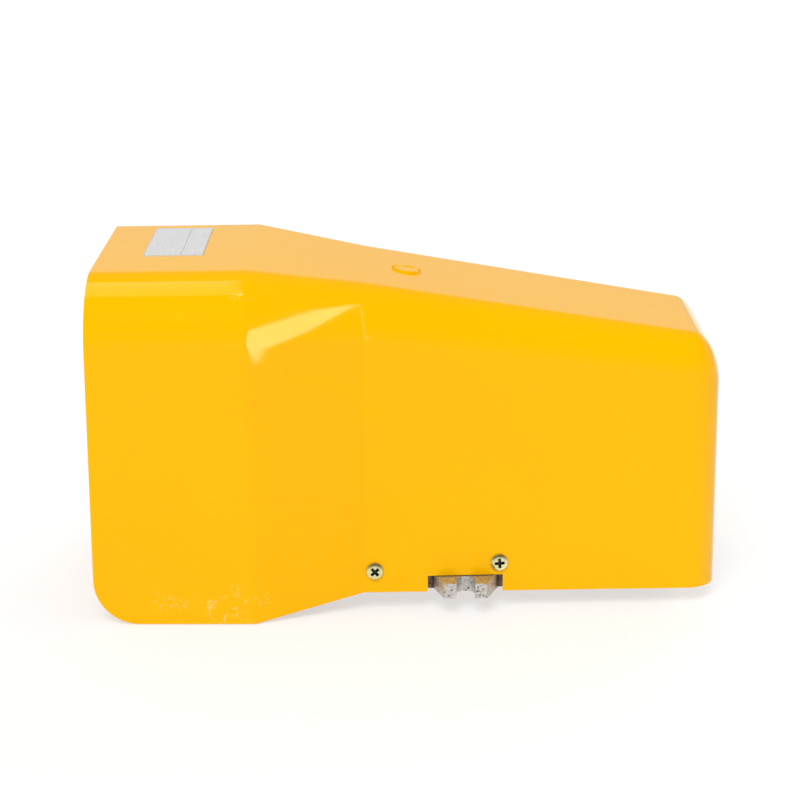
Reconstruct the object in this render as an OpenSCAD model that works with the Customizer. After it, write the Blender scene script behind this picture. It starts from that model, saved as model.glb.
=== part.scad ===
// Pneumatic foot valve with a moulded guard hood. Millimetres.
// +X points to the closed toe end, +Y to the far side, +Z up. The floor is z = 0.

/* [Guard hood] */
// Overall length of the hood
hood_l = 240; // [235:1:260]
// Overall height of the hood above the floor
hood_h = 133.4; // [128:0.1:150]
// Outer width of the open front section
wide_w = 124; // [120:1:140]
// Outer width where the flare ends
mid_w = 97.6; // [96:0.1:104]
// Outer width at the rear corners
toe_w = 82.8; // [80:0.1:90]
// Length of the wide front section
wide_l = 61.5; // [55:0.5:66]
// Length of the flare behind it
flare_l = 41.1; // [35:0.1:46]
// Wall thickness of the moulding
wall = 3; // [2.5:0.1:3.5]
// Radius along the top edges
top_fillet = 17.8; // [15:0.1:20]
// Radius of the rear corners and the rear top edge
rear_round = 11; // [9:0.5:13]
// Radius of the lower front corners of the side walls
skirt_round = 14; // [10:0.5:18]
// Fall of the top towards the open front
front_drop = 0.8; // [0:0.1:3]
// Slope of the top behind the wide section, degrees
top_slope = 8.5; // [6:0.1:9]
// Lean of the front edge, degrees
front_lean = 0.6; // [0:0.1:2]
// Lean of the crease where the flare starts, degrees
crease_lean = 1.1; // [0:0.1:2]
// Lean of the rear wall, degrees
rear_lean = 1.2; // [0:0.1:2]
// Gap between the skirt and the floor
skirt_gap = 0.3; // [0.2:0.1:0.6]
// Width of the notch for the mounting lug
notch_w = 29; // [27:0.5:32]
// Diameter of the raised gate mark
gate_d = 11.3; // [9:0.1:13]
// Height of the raised gate mark
gate_h = 1; // [0.5:0.1:1.5]
// Distance of the gate mark from the front edge
gate_setback = 119; // [110:1:130]
// Half width of the hose opening in the rear wall
hose_half_w = 31; // [30:0.5:31.5]
// Top of the hose opening above the floor
hose_top = 62; // [60:0.5:66]

/* [Label plate] */
// Size of the plate along the hood
plate_l = 23; // [20:0.5:26]
// Size of the plate across the hood
plate_w = 50; // [40:1:54]
// Thickness of the plate
plate_t = 0.5; // [0.3:0.1:0.8]
// Distance of its centre from the front edge
plate_setback = 29; // [24:0.5:36]
// Sideways place of its centre
plate_off = 11; // [0:0.5:14]

/* [Base casting] */
// Height of the rubber feet under the casting
foot_h = 8; // [7:0.1:9]
// Thickness of the floor of the casting
base_t = 6; // [5.5:0.1:6.2]
// Width of the rim
rim_w = 3; // [2.5:0.1:4]
// Height of the rim above the floor of the casting
rim_h = 5; // [4:0.1:5.5]
// Distance of the casting from the open front
base_setback = 21.8; // [20:0.1:22.5]
// Gap between the casting and the walls of the wide section
base_side_gap = 8; // [6:0.5:9]
// Radius of its front corners
base_corner_r = 10; // [6:0.5:12]
// Width of a lug where it leaves the hood
lug_root_w = 25; // [23:0.1:27]
// Width of a lug at its tip
lug_tip_w = 16.4; // [15:0.1:18]
// Reach of the lug tips from the middle plane
lug_reach = 54.9; // [54:0.1:58]
// Width of the slot in a lug
slot_w = 7.2; // [6.6:0.1:7.4]
// Distance of the slot's centre from the middle plane
slot_reach = 50.5; // [50:0.1:51]
// Distance of the lug centres behind the flare
lug_setback = 39.2; // [36:0.1:42]

/* [Pedal] */
// Width of the pedal
pedal_w = 76; // [72:0.5:76.5]
// Thickness of its plate
tread_t = 4; // [3:0.1:4.5]
// Distance of the pivot from the front of the hood
pivot_setback = 51; // [49:0.5:53]
// Height of the pivot above the floor
pivot_z = 24; // [23.5:0.1:25]
// Rise of the plate towards the toe, degrees
pedal_rise = 6; // [5:0.5:7]
// Height of the plate's top above the pivot
tread_rise = 9; // [8.6:0.1:10]
// Height of the toe stop above the pivot
toe_stop_h = 38; // [36:0.5:42]
// Angle that the pedal turns through, degrees
travel_angle = 8; // [7:0.5:8]
// Diameter of the pivot pin
pin_d = 8; // [7:0.1:8.4]
// Thickness of the rubber mat
mat_t = 3; // [2.5:0.1:3.5]

/* [Valve] */
// Height of the spool's axis above the floor
spool_z = 38; // [37:0.5:39]
// Stroke of the spool
stroke = 4; // [3.5:0.1:4.2]
// Diameter of the cam roller
roller_d = 12; // [11:0.5:12.5]
// Width of the cam roller
roller_w = 10; // [8:0.5:11]
// Diameter of the plunger
rod_d = 8; // [7:0.1:9]
// Diameter of the spool's bore
bore_d = 16; // [15:0.1:17]
// Length of the valve body
body_l = 46; // [44:0.5:47]
// Width of the valve body
body_w = 48; // [46:0.5:52]
// Height of the valve body
body_h = 36; // [34:0.5:36.5]
// Thickness of the port block, which the ports go right through
block_t = 9.5; // [9:0.1:10]
// Distance of its outer face from the rear end of the hood
block_setback = 7.8; // [6:0.1:9]
// Thickness of the channel plate in front of it
channel_t = 2.5; // [2:0.1:3]
// Gap between the port block and the side walls of the hood
block_side_gap = 5.4; // [4.4:0.1:6.4]
// Tapping diameter of the three large ports
port_d = 11.8; // [11:0.1:12]
// Tapping diameter of the two exhaust ports
vent_d = 8.8; // [8:0.1:9]

/* [Hidden] */
$fn = 64;

// Facets round the children of a hull
hull_fn = 32;
// Overrun of every cut
over = 1;
// Thickness of a station that a hull runs through
sliver = 0.02;
// Radial running clearance of a pin or rod in its hole
run = 0.05;
// Gap between faces that would touch across a joint
touch = 0.3;
// Clearance between the casting and the hood
hood_fit = 0.2;

// Stations along the hood
x_front = -hood_l / 2;
x_rear = hood_l / 2;
x_wide = x_front + wide_l;
x_mid = x_wide + flare_l;
x_corner = x_rear - rear_round;
edge_z = foot_h;

// Outer half width of the hood at x
function side_y(x) =
    x < x_wide ? wide_w / 2
    : x < x_mid ? wide_w / 2 + (mid_w - wide_w) / 2 * (x - x_wide) / flare_l
    : mid_w / 2 + (toe_w - mid_w) / 2 * (x - x_mid) / (x_corner - x_mid);
// Where the slope of the top starts
x_slope = x_wide - hood_h * tan(crease_lean);
// Outer height of the hood at x, behind the wide section
function top_z(x) = hood_h - (x - x_slope) * tan(top_slope);
// Angle of the side walls to the middle plane
side_taper = atan((mid_w - toe_w) / 2 / (x_corner - x_mid));

// One cross-section of the hood, drawn in on every side by inset
module station(half_w, top, low, inset) {
    r = top_fillet - inset;
    for (side = [-1, 1])
        translate([0, side * (half_w - top_fillet), top - top_fillet])
            rotate([0, 90, 0]) cylinder(r = r, h = sliver, $fn = hull_fn);
    translate([0, -half_w + inset, low]) cube([sliver, 2 * (half_w - inset), sliver]);
}
// The rounded rear end of the hood
module rear_station(low, inset) {
    r = rear_round - inset;
    top = top_z(x_corner);
    for (side = [-1, 1]) {
        translate([0, side * (toe_w / 2 - rear_round), low])
            cylinder(r = r, h = top - top_fillet - low, $fn = hull_fn);
        translate([0, side * (toe_w / 2 - top_fillet), top - top_fillet]) rotate([0, 90, 0])
            rotate_extrude($fn = hull_fn) intersection() {
                translate([top_fillet - rear_round, 0]) circle(r = r, $fn = hull_fn);
                translate([0, -r]) square([top_fillet, 2 * r]);
            }
    }
}
// The solid form of the hood, drawn in by inset; reach lengthens it past its openings
module hood_form(inset, reach) {
    wide_low = skirt_gap - reach;
    narrow_low = edge_z - reach;
    hull() {
        translate([x_front - reach, 0, 0]) rotate([0, front_lean, 0])
            station(wide_w / 2, hood_h - front_drop, wide_low, inset);
        translate([x_wide, 0, 0]) rotate([0, -crease_lean, 0])
            station(wide_w / 2, hood_h, wide_low, inset);
    }
    hull() {
        translate([x_wide, 0, 0]) rotate([0, -crease_lean, 0])
            station(wide_w / 2, hood_h, wide_low, inset);
        translate([x_mid, 0, 0]) station(mid_w / 2, top_z(x_mid), narrow_low, inset);
    }
    hull() {
        translate([x_mid, 0, 0]) station(mid_w / 2, top_z(x_mid), narrow_low, inset);
        translate([x_rear, 0, 0]) rotate([0, -rear_lean, 0]) translate([-rear_round, 0, 0])
            rear_station(narrow_low, inset);
    }
}

// The two screws in a side wall: distance behind the flare, and height over the casting's underside
screw_setback = [4.2, 52.3];
screw_x = [x_mid + screw_setback[0], x_mid + screw_setback[1]];
screw_rise = [8.8, 11.4];
screw_d = 4;
screw_hole_d = 4.4;
screw_head_d = 6.9;
screw_head_h = 2;
screw_l = 9;
recess_w = 0.9;
recess_l = 4.2;
recess_h = 1.2;
recess_angles = [40, 15];
// Frame of each side screw: origin on the outer wall, +Z out of the wall
module at_side_screws() {
    for (side = [0, 1]) mirror([0, side, 0])
        for (i = [0 : 1])
            translate([screw_x[i], -side_y(screw_x[i]), foot_h + screw_rise[i]])
                rotate([0, 0, side_taper]) rotate([90, 0, 0]) {
                    $angle = recess_angles[i];
                    children();
                }
}
// A cross recess cut into a screw head whose top is at z = 0
module cross_recess(w, l, h, angle) {
    for (a = [angle, angle + 90])
        rotate([0, 0, a]) translate([-l / 2, -w / 2, -h]) cube([l, w, h + over]);
}

lug_x = x_mid + lug_setback;
notch_h = base_t + touch;

module guard_hood() color([1, 0.74, 0.02]) {
    gate_x = x_front + gate_setback;
    difference() {
        union() {
            hood_form(0, 0);
            translate([gate_x, 0, top_z(gate_x) - wall / 2]) rotate([0, top_slope, 0])
                cylinder(d = gate_d, h = wall / 2 + gate_h);
        }
        hood_form(wall, over);
        for (side = [-1, 1]) {
            translate([lug_x - notch_w / 2, side * wide_w / 2 - wide_w / 4, edge_z - over])
                cube([notch_w, wide_w / 2, notch_h + over]);
        }
        translate([x_front, -wide_w / 2 - over, skirt_gap]) rotate([-90, 0, 0])
            linear_extrude(height = wide_w + 2 * over) corner_cut(skirt_round);
        translate([x_rear - 2 * wall, -hose_half_w, edge_z - over])
            cube([2 * wall + over, 2 * hose_half_w, hose_top - edge_z + over]);
        at_side_screws() translate([0, 0, -wall - over])
            cylinder(d = screw_hole_d, h = wall + 2 * over);
    }
}
// What a radius removes from a square corner at the origin that fills +X and -Y
module corner_cut(r) difference() {
    translate([-over, -r]) square([r + over, r + over]);
    translate([r, -r]) circle(r = r);
}

plate_tilt = atan(front_drop / wide_l);
module rating_plate() color([0.83, 0.83, 0.83])
    translate([x_front, plate_off - plate_w / 2, hood_h - front_drop])
        rotate([0, -plate_tilt, 0]) translate([plate_setback - plate_l / 2, 0, 0])
            cube([plate_l, plate_w, plate_t]);

module hood_screws() color([0.75, 0.65, 0.3])
    at_side_screws() difference() {
        union() {
            translate([0, 0, -screw_l]) cylinder(d = screw_d, h = screw_l);
            cylinder(d = screw_head_d, h = screw_head_h / 2);
            translate([0, 0, screw_head_h / 2])
                cylinder(d1 = screw_head_d, d2 = screw_head_d - screw_head_h, h = screw_head_h / 2);
        }
        translate([0, 0, screw_head_h]) cross_recess(recess_w, recess_l, recess_h, $angle);
    }

// Casting: outline points along one side, drawn in by inset
base_x0 = x_front + base_setback;
base_x1 = x_corner - hood_fit;
base_half_w = wide_w / 2 - wall - base_side_gap;
base_top = foot_h + base_t;
base_flare_x = x_mid - hood_fit;
function base_side(inset) = [
    [base_x0 + inset, base_half_w - inset],
    [x_wide, base_half_w - inset],
    [base_flare_x, side_y(x_mid) - wall - hood_fit - inset],
    [base_x1 - inset, side_y(base_x1) - wall - hood_fit - inset]];
function mirrored(points) =
    [for (i = [len(points) - 1 : -1 : 0]) [points[i][0], -points[i][1]]];
module base_outline(inset) difference() {
    polygon(concat(base_side(inset), mirrored(base_side(inset))));
    for (side = [0, 1]) mirror([0, side])
        translate([base_x0 + inset, base_half_w - inset]) corner_cut(base_corner_r - inset);
}

// Valve train, from the rear end forwards
gasket_t = 1;
cap_t = 7;
cap_gap = 0.8;
fork_web_t = 3;
cam_t = 6.8;
block_x = x_rear - block_setback - block_t;
channel_x = block_x - channel_t;
body_end = channel_x - gasket_t;
body_x = body_end - body_l;
cap_x = body_x - cap_t;
fork_x = cap_x - cap_gap - stroke - fork_web_t;
roller_x = fork_x - touch - roller_d / 2;
toe_x = roller_x - roller_d / 2 - touch - cam_t;
valve_z0 = spool_z - body_h / 2;
block_w = toe_w - 2 * (wall + block_side_gap);

pivot_x = x_front + pivot_setback;
pedal_l = toe_x - pivot_x;
boss_r = 7;
boss_in = 6;
ear_t = 6;
ear_r = 8;
ear_y = pedal_w / 2 + touch;
bush_flange_t = 1;
rest_rib_l = 6;
rest_rib_w = 24;

// Pedal plate: height of its top over the pivot at a distance u behind it
function tread_top(u) = tread_rise + u * tan(pedal_rise);
function tread_low(u) = tread_top(u) - tread_t / cos(pedal_rise);
// A point given from the pivot, after the pedal has turned by a
function turned(p, a) = [p[0] * cos(a) + p[1] * sin(a), -p[0] * sin(a) + p[1] * cos(a)];
heel_l = 15;
rest_u = -heel_l + rest_rib_l / 2;

stop_r = 8;
stop_stem_d = 5;
stop_inset = 14;
stop_u = pedal_l - stop_inset;
pedal_tube_r = 8;
spring_u = (pedal_tube_r + stop_u - stop_r) / 2;
spring_d = 16;
spring_wire = 1.8;
spring_curls = 4;
spring_seat_h = 3;
spring_spigot_d = 10.5;
spring_spigot_h = 3;
spring_margin = 0.5;
spring_base = base_top;
spring_top = pivot_z + tread_low(spring_u) - spring_seat_h + tread_t / 2;

stop_z = pivot_z + turned([stop_u + stop_r, tread_low(stop_u + stop_r)], travel_angle)[1]
    - touch;

valve_bolt_d = 5;
valve_bolt_head_d = 8.5;
valve_bolt_head_h = 3;
valve_bolt_grip = 6;
valve_bolt_y = 19;
valve_bolt_inset = 15;
valve_bolt_xs = [body_x + valve_bolt_inset, body_end - valve_bolt_inset];
valve_pad_w = 12;

foot_front_setback = 32;
foot_rear_setback = 28;
foot_front_x = x_front + foot_front_setback;
foot_front_y = 34;
foot_front_d = 18;
foot_rear_x = x_rear - foot_rear_setback;
foot_rear_y = 6.5;
foot_rear_d = 13;
foot_screw_d = 4;
foot_screw_grip = 5;
foot_head_d = 7;
foot_head_h = 2.4;
foot_cup_d = 8;
foot_cup_h = 4.5;
// Places of the screws in the feet
foot_places = [[foot_front_x, foot_front_y], [foot_front_x, -foot_front_y],
    [foot_rear_x, foot_rear_y], [foot_rear_x, -foot_rear_y]];

module lug_outline() {
    root_y = side_y(lug_x) - wall;
    inner_y = root_y - lug_tip_w / 2;
    difference() {
        polygon([[lug_x - lug_root_w / 2, inner_y], [lug_x - lug_root_w / 2, root_y],
            [lug_x - lug_tip_w / 2, lug_reach], [lug_x + lug_tip_w / 2, lug_reach],
            [lug_x + lug_root_w / 2, root_y], [lug_x + lug_root_w / 2, inner_y]]);
        translate([lug_x, slot_reach]) circle(d = slot_w);
        translate([lug_x - slot_w / 2, slot_reach])
            square([slot_w, lug_reach - slot_reach + over]);
    }
}
module base_casting() color([0.72, 0.72, 0.7]) difference() {
    union() {
        translate([0, 0, foot_h]) linear_extrude(height = base_t) {
            base_outline(0);
            for (side = [0, 1]) mirror([0, side]) lug_outline();
        }
        translate([0, 0, foot_h]) linear_extrude(height = base_t + rim_h) difference() {
            base_outline(0);
            base_outline(rim_w);
        }
        for (side = [-1, 1]) {
            translate([pivot_x, side * (ear_y + ear_t / 2), pivot_z]) rotate([90, 0, 0])
                cylinder(r = ear_r, h = ear_t, center = true);
            translate([pivot_x - ear_r, side * (ear_y + ear_t / 2) - ear_t / 2, foot_h])
                cube([2 * ear_r, ear_t, pivot_z - foot_h]);
        }
        at_side_screws() translate([0, 0, -wall - hood_fit - boss_in])
            cylinder(r = boss_r, h = boss_in);
        translate([pivot_x + rest_u - rest_rib_l / 2, -rest_rib_w / 2, foot_h])
            cube([rest_rib_l, rest_rib_w, pivot_z - foot_h
                + turned([rest_u, tread_low(rest_u - rest_rib_l / 2)], 0)[1] - touch]);
        translate([pivot_x + spring_u, 0, foot_h])
            cylinder(d = spring_spigot_d, h = base_t + spring_spigot_h);
        for (x = valve_bolt_xs)
            translate([x - valve_pad_w / 2, -body_w / 2, foot_h])
                cube([valve_pad_w, body_w, valve_z0 - foot_h]);
    }
    for (side = [-1, 1])
        translate([pivot_x, side * (ear_y + ear_t / 2), pivot_z]) rotate([90, 0, 0])
            cylinder(d = pin_d, h = ear_t + 2 * over, center = true);
    at_side_screws() translate([0, 0, -screw_l]) cylinder(d = screw_d, h = screw_l);
    for (x = valve_bolt_xs, side = [-1, 1])
        translate([x, side * valve_bolt_y, foot_h - over]) {
            cylinder(d = valve_bolt_d, h = valve_z0 - foot_h + 2 * over);
            cylinder(d = valve_bolt_head_d + hood_fit, h = valve_bolt_head_h + over);
        }
    for (p = foot_places)
        translate([p[0], p[1], foot_h - over])
            cylinder(d = foot_screw_d, h = foot_screw_grip + over);
    translate([pivot_x + stop_u, 0, foot_h - over]) cylinder(d = stop_stem_d, h = base_t + 2 * over);
    // Underside relief between the feet
    translate([foot_front_x + foot_front_d, -relief_w / 2, foot_h - over])
        cube([pivot_x + stop_u - stop_r - foot_front_x - foot_front_d, relief_w, relief_h + over]);
}
relief_w = 60;
relief_h = 2;

module foot_screw_cut() {
    translate([0, 0, -over]) cylinder(d = foot_screw_d, h = foot_h + 2 * over);
    translate([0, 0, -over]) cylinder(d = foot_cup_d, h = foot_cup_h + over);
}
module rubber_feet() color([0.12, 0.12, 0.12]) {
    for (side = [-1, 1])
        translate([foot_front_x, side * foot_front_y, 0]) difference() {
            cylinder(d = foot_front_d, h = foot_h);
            foot_screw_cut();
        }
    translate([foot_rear_x, 0, 0]) difference() {
        union() {
            for (side = [-1, 1])
                translate([0, side * foot_rear_y, 0]) cylinder(d = foot_rear_d, h = foot_h);
            translate([-foot_rear_d / 2, -foot_rear_y, 0])
                cube([foot_rear_d, 2 * foot_rear_y, foot_h]);
        }
        for (side = [-1, 1]) translate([0, side * foot_rear_y, 0]) foot_screw_cut();
    }
}
module feet_screws() color([0.75, 0.75, 0.75])
    for (p = foot_places)
        translate([p[0], p[1], foot_cup_h]) difference() {
            union() {
                translate([0, 0, -foot_head_h]) cylinder(d = foot_head_d, h = foot_head_h);
                cylinder(d = foot_screw_d, h = foot_h - foot_cup_h + foot_screw_grip);
            }
            mirror([0, 0, 1]) translate([0, 0, foot_head_h])
                cross_recess(recess_w, recess_l, recess_h, 0);
        }

pin_overhang = 2.5;
pin_l = 2 * (ear_y + ear_t + pin_overhang);
clip_t = 0.8;
clip_groove_d = 6.4;
clip_d = 13;
clip_gap = 0.2;
clip_y = ear_y + ear_t + clip_gap;
module pivot_pin() color([0.8, 0.8, 0.82])
    translate([pivot_x, 0, pivot_z]) rotate([90, 0, 0]) difference() {
        cylinder(d = pin_d, h = pin_l, center = true);
        for (side = [-1, 1]) translate([0, 0, side * (clip_y + clip_t / 2)]) difference() {
            cylinder(d = pin_d + over, h = clip_t, center = true);
            cylinder(d = clip_groove_d, h = clip_t + over, center = true);
        }
    }
module pivot_clips() color([0.3, 0.3, 0.32])
    for (side = [-1, 1])
        translate([pivot_x, side * (clip_y + clip_t / 2), pivot_z]) rotate([90, 0, 0])
            difference() {
                cylinder(d = clip_d, h = clip_t, center = true);
                cylinder(d = clip_groove_d, h = clip_t + over, center = true);
                translate([-clip_groove_d / 2, 0, -clip_t])
                    cube([clip_groove_d, clip_d, 2 * clip_t]);
            }

module stop_bumper() color([0.1, 0.1, 0.1])
    translate([pivot_x + stop_u, 0, 0]) {
        translate([0, 0, base_top]) cylinder(r = stop_r, h = stop_z - base_top);
        translate([0, 0, foot_h]) cylinder(d = stop_stem_d, h = base_t);
    }

// A coil spring along +Z from z = 0 to length, as one tube
curl_rings = 8;
wire_sides = 6;
function coil_point(d, wire, length, curls, t) = [
    (d - wire) / 2 * cos(360 * t), (d - wire) / 2 * sin(360 * t),
    wire / 2 + (length - wire) * t / curls];
function coil_rise(d, wire, length, curls) =
    atan((length - wire) / curls / (PI * (d - wire)));
function coil_ring(d, wire, length, curls, t) =
    let (c = coil_point(d, wire, length, curls, t), rise = coil_rise(d, wire, length, curls))
    [for (j = [0 : wire_sides - 1])
        let (b = 360 * j / wire_sides + 90, u = wire / 2 * cos(b), v = wire / 2 * sin(b))
        c + [u * cos(360 * t) + v * sin(rise) * sin(360 * t),
            u * sin(360 * t) - v * sin(rise) * cos(360 * t),
            v * cos(rise)]];
module coil(d, wire, length, curls) {
    rings = curls * curl_rings;
    points = [for (k = [0 : rings])
        each coil_ring(d, wire, length, curls, k / curl_rings)];
    sides = [for (k = [0 : rings - 1], j = [0 : wire_sides - 1])
        let (a = k * wire_sides + j, b = k * wire_sides + (j + 1) % wire_sides)
        each [[a, b, a + wire_sides], [b, b + wire_sides, a + wire_sides]]];
    start = [[for (j = [wire_sides - 1 : -1 : 0]) j]];
    end = [[for (j = [0 : wire_sides - 1]) rings * wire_sides + j]];
    polyhedron(points = points, faces = concat(sides, start, end), convexity = 10);
}
// Least distance between the wire's surfaces, measured on points a turn or nearly a turn apart
gap_steps = 32;
function coil_gap(d, wire, length, curls) =
    min([for (k = [0 : (curls - 1) * gap_steps], j = [-2 : 2])
        norm(coil_point(d, wire, length, curls, k / gap_steps)
            - coil_point(d, wire, length, curls, (k + j) / gap_steps + 1))]) - wire;
pedal_spring_l = spring_top - spring_base;
echo("least gap in the pedal spring", coil_gap(spring_d, spring_wire, pedal_spring_l, spring_curls));
module pedal_spring() color([0.6, 0.6, 0.62])
    translate([pivot_x + spring_u, 0, spring_base])
        coil(spring_d, spring_wire, pedal_spring_l, spring_curls);

// Ports of the block: sideways place and height over the spool's axis
port_inset = 11;
port_y = block_w / 2 - port_inset;
port_rise = 8;
vent_y = port_y / 2;
vent_drop = 10;
ports = [[0, port_rise], [-port_y, port_rise], [port_y, port_rise]];
vents = [[-vent_y, -vent_drop], [vent_y, -vent_drop]];
// Galleries from the ports into the valve body, clear of its bore and sides
gallery_d = 4.5;
gallery_l = 6;
gallery_wall = 0.8;
gallery_edge = 4.5;
gallery_rise = bore_d / 2 + gallery_wall + gallery_d / 2;
gallery_y = body_w / 2 - gallery_edge;
galleries = concat([[0, gallery_rise], [-gallery_y, port_rise], [gallery_y, port_rise]], vents);
cap_screw_d = 4;
cap_screw_head_d = 7;
cap_screw_head_h = 4;
cap_screw_grip = 10;
hex_af = 3;
cap_screw_inset = 5.5;
// Places of the screws through the port block: sideways and over the spool's axis
block_screw_inset = 3.5;
block_screw_y = [port_y / 2, body_w / 2 - block_screw_inset];
block_screw_rise = [14, -13.5];
block_screw_places = [for (side = [-1, 1], i = [0, 1])
    [side * block_screw_y[i], block_screw_rise[i]]];
cap_screw_places = [for (a = [-1, 1], b = [-1, 1])
    [a * (body_w / 2 - cap_screw_inset), b * (body_h / 2 - cap_screw_inset)]];

// Frame of the valve: +X along the spool, origin on its axis at x
module on_axis(x) translate([x, 0, spool_z]) rotate([0, 90, 0]) children();
module at_places(x, places)
    for (p = places) translate([x, p[0], spool_z + p[1]]) rotate([0, 90, 0]) children();

module valve_body() color([0.7, 0.72, 0.75]) difference() {
    translate([body_x, -body_w / 2, valve_z0]) cube([body_l, body_w, body_h]);
    on_axis(body_x - over) cylinder(d = bore_d, h = body_l + 2 * over);
    at_places(body_x - over, cap_screw_places) cylinder(d = cap_screw_d, h = cap_screw_grip + over);
    at_places(body_end - cap_screw_grip, block_screw_places)
        cylinder(d = cap_screw_d, h = cap_screw_grip + over);
    at_places(body_end - gallery_l, galleries) cylinder(d = gallery_d, h = gallery_l + over);
    for (x = valve_bolt_xs, side = [-1, 1])
        translate([x, side * valve_bolt_y, valve_z0 - over])
            cylinder(d = valve_bolt_d, h = valve_bolt_grip + over);
}
cap_spigot_l = 3;
seal_t = 3;
seal_d = 13;
module front_cap() color([0.55, 0.57, 0.6]) difference() {
    union() {
        translate([cap_x, -body_w / 2, valve_z0]) cube([cap_t, body_w, body_h]);
        on_axis(body_x) cylinder(d = bore_d, h = cap_spigot_l);
    }
    on_axis(cap_x - over) cylinder(d = rod_d + 2 * run, h = cap_t + cap_spigot_l + 2 * over);
    on_axis(body_x + cap_spigot_l - seal_t) cylinder(d = seal_d, h = seal_t + over);
    at_places(cap_x - over, cap_screw_places) cylinder(d = cap_screw_d, h = cap_t + 2 * over);
    at_places(cap_x - over, cap_screw_places)
        cylinder(d = cap_screw_head_d, h = cap_screw_head_h + over);
}
// A socket head screw along +X; its head's top is at x = 0
module socket_screw(l) difference() {
    union() {
        cylinder(d = cap_screw_head_d, h = cap_screw_head_h);
        cylinder(d = cap_screw_d, h = l);
    }
    translate([0, 0, -over]) cylinder(d = hex_af / cos(30), h = cap_screw_head_h / 2 + over, $fn = 6);
}
module cap_screws() color([0.2, 0.2, 0.22])
    at_places(cap_x, cap_screw_places) socket_screw(cap_t + cap_screw_grip);
module rod_seal() color([0.1, 0.1, 0.1])
    on_axis(body_x + cap_spigot_l - seal_t) difference() {
        cylinder(d = seal_d, h = seal_t);
        translate([0, 0, -over]) cylinder(d = rod_d + 2 * run, h = seal_t + 2 * over);
    }
module valve_gasket() color([0.25, 0.3, 0.25]) difference() {
    translate([body_end, -body_w / 2, valve_z0]) cube([gasket_t, body_w, body_h]);
    on_axis(body_end - over) cylinder(d = bore_d, h = gasket_t + 2 * over);
    at_places(body_end - over, block_screw_places)
        cylinder(d = cap_screw_d, h = gasket_t + 2 * over);
    at_places(body_end - over, galleries) cylinder(d = gallery_d, h = gasket_t + 2 * over);
}
module channel_plate() color([0.75, 0.76, 0.78]) difference() {
    translate([channel_x, -block_w / 2, valve_z0]) cube([channel_t, block_w, body_h]);
    at_places(channel_x - over, block_screw_places)
        cylinder(d = cap_screw_d, h = channel_t + 2 * over);
    at_places(channel_x - over, galleries) cylinder(d = gallery_d, h = channel_t + 2 * over);
}
module port_block() color([0.68, 0.7, 0.73]) difference() {
    translate([block_x, -block_w / 2, valve_z0]) cube([block_t, block_w, body_h]);
    at_places(block_x - over, ports) cylinder(d = port_d, h = block_t + 2 * over);
    at_places(block_x - over, vents) cylinder(d = vent_d, h = block_t + 2 * over);
    at_places(block_x - over, block_screw_places)
        cylinder(d = cap_screw_d, h = block_t + 2 * over);
    at_places(block_x + block_t - cap_screw_head_h, block_screw_places)
        cylinder(d = cap_screw_head_d, h = cap_screw_head_h + over);
}
module block_screws() color([0.2, 0.2, 0.22])
    at_places(block_x + block_t, block_screw_places) mirror([0, 0, 1])
        socket_screw(block_t + channel_t + gasket_t + cap_screw_grip);
module valve_bolts() color([0.6, 0.6, 0.62])
    for (x = valve_bolt_xs, side = [-1, 1])
        translate([x, side * valve_bolt_y, foot_h]) difference() {
            union() {
                cylinder(d = valve_bolt_head_d, h = valve_bolt_head_h);
                cylinder(d = valve_bolt_d, h = valve_z0 - foot_h + valve_bolt_grip);
            }
            translate([0, 0, -over])
                cylinder(d = hex_af / cos(30), h = valve_bolt_head_h / 2 + over, $fn = 6);
        }

// Spool: lands with a seal in each
land_n = 5;
land_w = 4.6;
spool_front_gap = 0.5;
spool_x = body_x + cap_spigot_l + spool_front_gap;
return_room = 10;
spool_l = body_end - spool_x - return_room;
land_pitch = (spool_l - land_w) / (land_n - 1);
core_d = 8.5;
seal_wire = 2.4;
seal_ring_r = bore_d / 2 - run - seal_wire / 2;
seal_groove_w = 2.8;
module spool() color([0.78, 0.8, 0.82]) difference() {
    union() {
        on_axis(spool_x) cylinder(d = core_d, h = spool_l);
        for (i = [0 : land_n - 1])
            on_axis(spool_x + i * land_pitch) cylinder(d = bore_d - 2 * run, h = land_w);
    }
    for (i = [0 : land_n - 1])
        on_axis(spool_x + i * land_pitch + (land_w - seal_groove_w) / 2) difference() {
            cylinder(d = bore_d + over, h = seal_groove_w);
            translate([0, 0, -over])
                cylinder(r = seal_ring_r - seal_wire / 2, h = seal_groove_w + 2 * over);
        }
}
module spool_seals() color([0.08, 0.08, 0.08])
    for (i = [0 : land_n - 1])
        on_axis(spool_x + i * land_pitch + land_w / 2)
            rotate_extrude() translate([seal_ring_r, 0]) circle(d = seal_wire, $fn = 24);
return_d = 12;
return_wire = 1.2;
return_curls = 3;
return_l = return_room + gasket_t;
echo("least gap in the return spring", coil_gap(return_d, return_wire, return_l, return_curls));
module spool_spring() color([0.6, 0.6, 0.62])
    on_axis(channel_x - return_l) coil(return_d, return_wire, return_l, return_curls);

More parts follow.
